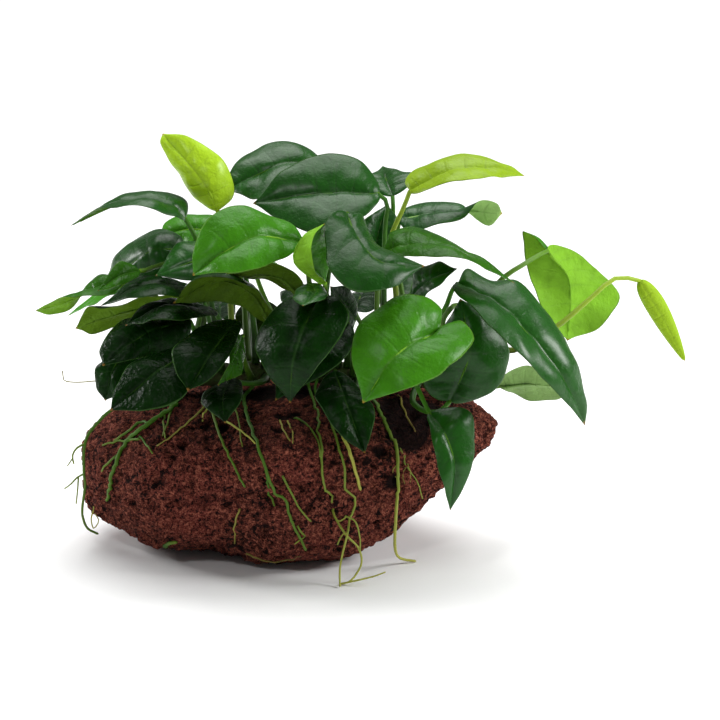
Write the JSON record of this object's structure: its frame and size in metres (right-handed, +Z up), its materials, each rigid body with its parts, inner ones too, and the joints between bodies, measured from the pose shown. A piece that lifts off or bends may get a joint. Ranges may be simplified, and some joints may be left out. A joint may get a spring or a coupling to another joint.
{
  "type": "anubias plant on a lava stone",
  "caption": "Broad-leaved water plant on round stalks, its creeping stems and roots grown onto a rough red-brown lava stone with a flat underside.",
  "frame": {"origin": "middle of the stone's flat underside, on the surface that it stands on", "axes": "+Z up, +X along the stone towards the drooping young leaf, -Y is the front that the picture shows"},
  "size_m": [0.2542, 0.1573, 0.1624],
  "materials": {
    "lava_stone": "rough, pitted all over, dull red-brown",
    "rhizome": "dull green bark with ring scars",
    "root": "matt green to yellow-green",
    "dark_leaf": "leathery and glossy, dark green, paler below",
    "bright_leaf": "leathery and glossy, fresh green",
    "olive_leaf": "dull olive green, the underside of a leaf",
    "pale_leaf": "matt pale green, the underside of a leaf",
    "young_leaf": "thin and satin, yellow-green"
  },
  "bodies": {
    "root": {"lava_stone": "lava_stone", "leaf_back_01": "dark_leaf", "leaf_back_02": "dark_leaf", "leaf_back_03": "dark_leaf", "leaf_back_04": "olive_leaf", "leaf_back_05": "dark_leaf", "leaf_back_06": "bright_leaf", "leaf_left_01": "young_leaf", "leaf_left_02": "dark_leaf", "leaf_left_03": "bright_leaf", "leaf_left_04": "dark_leaf", "leaf_left_05": "bright_leaf", "leaf_left_06": "dark_leaf", "leaf_left_07": "bright_leaf", "leaf_left_08": "bright_leaf", "leaf_left_09": "bright_leaf", "leaf_left_10": "dark_leaf", "leaf_left_11": "olive_leaf", "leaf_left_12": "olive_leaf", "leaf_left_13": "olive_leaf", "leaf_left_14": "dark_leaf", "leaf_left_15": "dark_leaf", "leaf_left_16": "dark_leaf", "leaf_left_17": "dark_leaf", "leaf_left_18": "dark_leaf", "leaf_left_19": "bright_leaf", "leaf_left_20": "dark_leaf", "leaf_middle_01": "dark_leaf", "leaf_middle_02": "dark_leaf", "leaf_middle_03": "dark_leaf", "leaf_middle_04": "dark_leaf", "leaf_middle_05": "dark_leaf", "leaf_middle_06": "bright_leaf", "leaf_middle_07": "dark_leaf", "leaf_middle_08": "dark_leaf", "leaf_middle_09": "pale_leaf", "leaf_middle_10": "dark_leaf", "leaf_right_01": "bright_leaf", "leaf_right_02": "young_leaf", "leaf_right_03": "pale_leaf", "leaf_right_04": "bright_leaf", "leaf_right_05": "young_leaf", "leaf_right_06": "dark_leaf", "leaf_right_07": "dark_leaf", "leaf_right_08": "bright_leaf", "leaf_right_09": "dark_leaf", "leaf_right_10": "dark_leaf", "leaf_right_11": "pale_leaf", "leaf_right_12": "dark_leaf", "rhizome_left": "rhizome", "rhizome_middle": "rhizome", "rhizome_right": "rhizome", "root_01": "root", "root_02": "root", "root_03": "root", "root_04": "root", "root_05": "root", "root_06": "root", "root_07": "root", "root_08": "root"}
  },
  "joints": []
}
